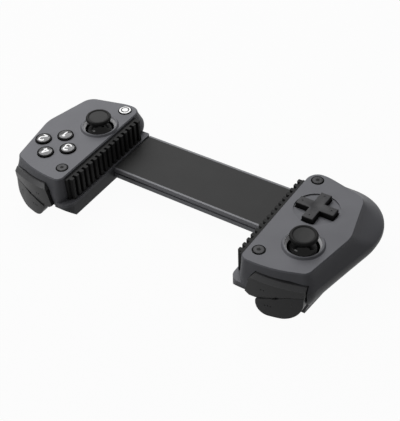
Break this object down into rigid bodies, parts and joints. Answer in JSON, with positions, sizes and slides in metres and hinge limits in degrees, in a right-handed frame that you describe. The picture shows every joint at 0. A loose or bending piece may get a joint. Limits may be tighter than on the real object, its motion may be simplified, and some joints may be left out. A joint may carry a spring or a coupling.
{
  "type": "mobile game controller",
  "caption": "Stretch game controller for a phone: two grip halves with sticks, buttons and triggers, joined by a sprung telescopic bridge.",
  "frame": {"origin": "middle of the bridge's deck, the flat top that the phone's back lies over", "axes": "+X from the d-pad half to the face-button half, +Y towards the shoulder buttons, +Z out of the faces"},
  "size_m": [0.2428, 0.1032, 0.0432],
  "materials": {
    "grey_shell": "fine matte texture",
    "dark_plastic": "matte",
    "deck_plastic": "matte",
    "black_rubber": "matte",
    "grip_rubber": "matte",
    "black_gloss": "glossy",
    "white_plastic": "satin",
    "ring_metal": "satin",
    "steel": "satin",
    "circuit": "satin",
    "cable_film": "satin",
    "foil": "satin"
  },
  "bodies": {
    "left_half": {"left_front_shell": "grey_shell", "left_rear_shell": "grey_shell", "left_phone_pad": "black_rubber", "left_board": "circuit", "left_contact_sheet": "grip_rubber", "left_stick_base": "steel", "left_stick_ring": "ring_metal", "left_bumper_pin": "steel", "left_trigger_pin": "steel", "left_trigger_spring": "steel", "left_case_screws": "steel", "dpad_post": "white_plastic", "battery": "foil", "bridge_channel": "grey_shell", "bridge_skin": "deck_plastic", "glide_strips": "white_plastic", "pull_springs": "steel", "bridge_cable": "cable_film", "bridge_screws": "steel"},
    "right_half": {"right_front_shell": "grey_shell", "right_rear_shell": "grey_shell", "right_phone_pad": "black_rubber", "right_board": "circuit", "right_contact_sheet": "grip_rubber", "right_stick_base": "steel", "right_stick_ring": "ring_metal", "right_bumper_pin": "steel", "right_trigger_pin": "steel", "right_trigger_spring": "steel", "right_case_screws": "steel", "slide_plate": "steel", "slide_cable": "cable_film", "plate_screws": "steel"},
    "left_yoke": {"left_stick_yoke": "dark_plastic"},
    "left_rocker": {"left_stick_rocker": "white_plastic"},
    "left_stick": {"left_stick_skirt": "black_gloss", "left_stick_cap": "grip_rubber"},
    "left_upper_shoulder": {"left_bumper": "dark_plastic"},
    "left_lower_shoulder": {"left_trigger": "dark_plastic"},
    "right_yoke": {"right_stick_yoke": "dark_plastic"},
    "right_rocker": {"right_stick_rocker": "white_plastic"},
    "right_stick": {"right_stick_skirt": "black_gloss", "right_stick_cap": "grip_rubber"},
    "right_upper_shoulder": {"right_bumper": "dark_plastic"},
    "right_lower_shoulder": {"right_trigger": "dark_plastic"},
    "dpad_swivel": {"dpad_ball": "steel"},
    "dpad_cross": {"dpad": "dark_plastic"},
    "button_right_press": {"button_right": "black_gloss"},
    "button_left_press": {"button_left": "black_gloss"},
    "button_top_press": {"button_top": "black_gloss"},
    "button_bottom_press": {"button_bottom": "black_gloss"},
    "home_button_press": {"home_button": "white_plastic"},
    "menu_button_press": {"menu_button": "grey_shell"},
    "upper_button_press": {"upper_button": "grey_shell"},
    "lower_button_press": {"lower_button": "grey_shell"}
  },
  "joints": [
    {"name": "bridge_extend", "type": "slide", "parent": "left_half", "child": "right_half", "axis": [1, 0, 0], "range_m": [0, 0.06], "stiffness_N_per_m": 60},
    {"name": "left_stick_tilt_fore_aft", "type": "hinge", "parent": "left_half", "child": "left_yoke", "pos_m": [-0.0915, 0.039, 0.0102], "axis": [1, 0, 0], "range_deg": [-14, 14], "stiffness_Nm_per_rad": 0.05},
    {"name": "left_stick_tilt_sideways", "type": "hinge", "parent": "left_yoke", "child": "left_rocker", "pos_m": [-0.0915, 0.039, 0.0102], "axis": [0, 1, 0], "range_deg": [-14, 14], "stiffness_Nm_per_rad": 0.05},
    {"name": "left_stick_click", "type": "slide", "parent": "left_rocker", "child": "left_stick", "axis": [0, 0, -1], "range_m": [0, 0.0008], "stiffness_N_per_m": 800},
    {"name": "right_stick_tilt_fore_aft", "type": "hinge", "parent": "right_half", "child": "right_yoke", "pos_m": [0.0783, 0.0077, 0.0102], "axis": [1, 0, 0], "range_deg": [-14, 14], "stiffness_Nm_per_rad": 0.05},
    {"name": "right_stick_tilt_sideways", "type": "hinge", "parent": "right_yoke", "child": "right_rocker", "pos_m": [0.0783, 0.0077, 0.0102], "axis": [0, 1, 0], "range_deg": [-14, 14], "stiffness_Nm_per_rad": 0.05},
    {"name": "right_stick_click", "type": "slide", "parent": "right_rocker", "child": "right_stick", "axis": [0, 0, -1], "range_m": [0, 0.0008], "stiffness_N_per_m": 800},
    {"name": "button_right_travel", "type": "slide", "parent": "right_half", "child": "button_right_press", "axis": [0, 0, -1], "range_m": [0, 0.0012], "stiffness_N_per_m": 500},
    {"name": "button_left_travel", "type": "slide", "parent": "right_half", "child": "button_left_press", "axis": [0, 0, -1], "range_m": [0, 0.0012], "stiffness_N_per_m": 500},
    {"name": "button_top_travel", "type": "slide", "parent": "right_half", "child": "button_top_press", "axis": [0, 0, -1], "range_m": [0, 0.0012], "stiffness_N_per_m": 500},
    {"name": "button_bottom_travel", "type": "slide", "parent": "right_half", "child": "button_bottom_press", "axis": [0, 0, -1], "range_m": [0, 0.0012], "stiffness_N_per_m": 500},
    {"name": "home_button_travel", "type": "slide", "parent": "right_half", "child": "home_button_press", "axis": [0, 0, -1], "range_m": [0, 0.0008], "stiffness_N_per_m": 500},
    {"name": "menu_button_travel", "type": "slide", "parent": "right_half", "child": "menu_button_press", "axis": [0, 0, -1], "range_m": [0, 0.0006], "stiffness_N_per_m": 500},
    {"name": "upper_button_travel", "type": "slide", "parent": "left_half", "child": "upper_button_press", "axis": [0, 0, -1], "range_m": [0, 0.0006], "stiffness_N_per_m": 500},
    {"name": "lower_button_travel", "type": "slide", "parent": "left_half", "child": "lower_button_press", "axis": [0, 0, -1], "range_m": [0, 0.0008], "stiffness_N_per_m": 500},
    {"name": "dpad_rock_fore_aft", "type": "hinge", "parent": "left_half", "child": "dpad_swivel", "pos_m": [-0.0838, 0.0083, 0.0146], "axis": [1, 0, 0], "range_deg": [-6, 6], "stiffness_Nm_per_rad": 0.2},
    {"name": "dpad_rock_sideways", "type": "hinge", "parent": "dpad_swivel", "child": "dpad_cross", "pos_m": [-0.0838, 0.0083, 0.0146], "axis": [0, 1, 0], "range_deg": [-6, 6], "stiffness_Nm_per_rad": 0.2},
    {"name": "left_bumper_press", "type": "hinge", "parent": "left_half", "child": "left_upper_shoulder", "pos_m": [-0.0766, 0.0592, 0.0034], "axis": [0, 0, 1], "range_deg": [0, 3], "stiffness_Nm_per_rad": 1},
    {"name": "left_trigger_pull", "type": "hinge", "parent": "left_half", "child": "left_lower_shoulder", "pos_m": [-0.09055, 0.059, -0.0046], "axis": [-1, 0, 0], "range_deg": [0, 13], "stiffness_Nm_per_rad": 0.3},
    {"name": "right_bumper_press", "type": "hinge", "parent": "right_half", "child": "right_upper_shoulder", "pos_m": [0.0766, 0.0592, 0.0034], "axis": [0, 0, -1], "range_deg": [0, 3], "stiffness_Nm_per_rad": 1},
    {"name": "right_trigger_pull", "type": "hinge", "parent": "right_half", "child": "right_lower_shoulder", "pos_m": [0.09055, 0.059, -0.0046], "axis": [-1, 0, 0], "range_deg": [0, 13], "stiffness_Nm_per_rad": 0.3}
  ]
}
